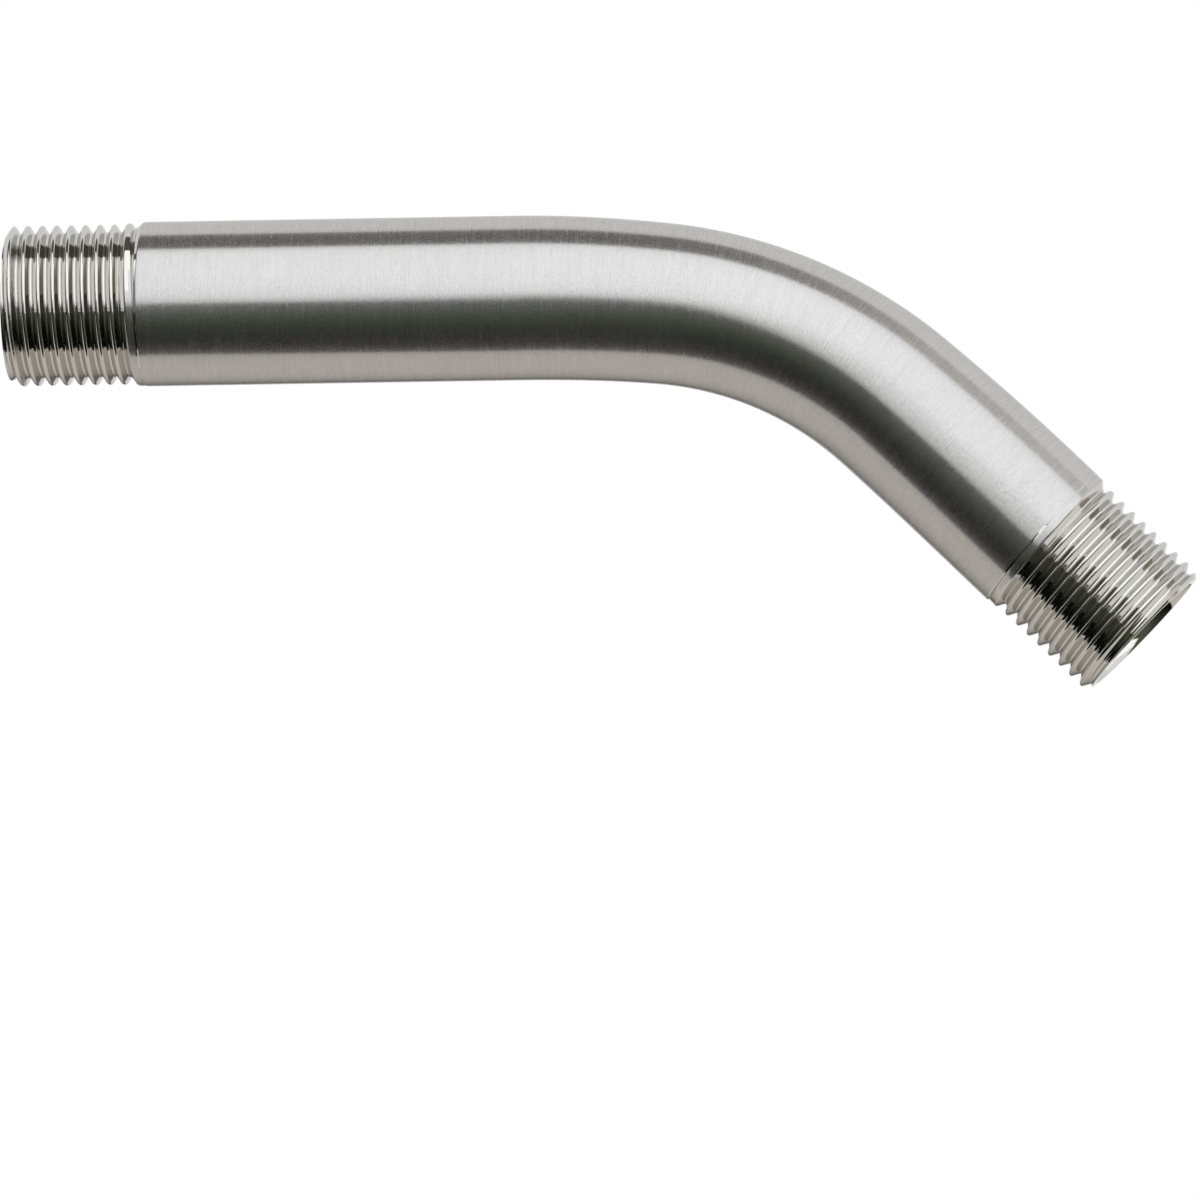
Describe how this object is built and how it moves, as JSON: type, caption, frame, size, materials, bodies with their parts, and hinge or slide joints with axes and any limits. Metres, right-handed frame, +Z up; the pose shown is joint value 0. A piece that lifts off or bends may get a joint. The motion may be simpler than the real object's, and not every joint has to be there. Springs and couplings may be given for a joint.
{
  "type": "shower arm",
  "caption": "Bent tube that carries a shower head out from the wall: a straight leg, one downward bend and an external pipe thread at each end, in brushed nickel.",
  "frame": {"origin": "centre of the wall end's face, on the tube's axis", "axes": "+X runs out of the wall along the straight leg, +Z is up, and the tube bends down in the XZ plane"},
  "size_m": [0.1477, 0.0206, 0.0605],
  "materials": {
    "nickel": "brushed nickel, bright on the threads"
  },
  "bodies": {
    "root": {"shower_arm": "nickel"}
  },
  "joints": []
}
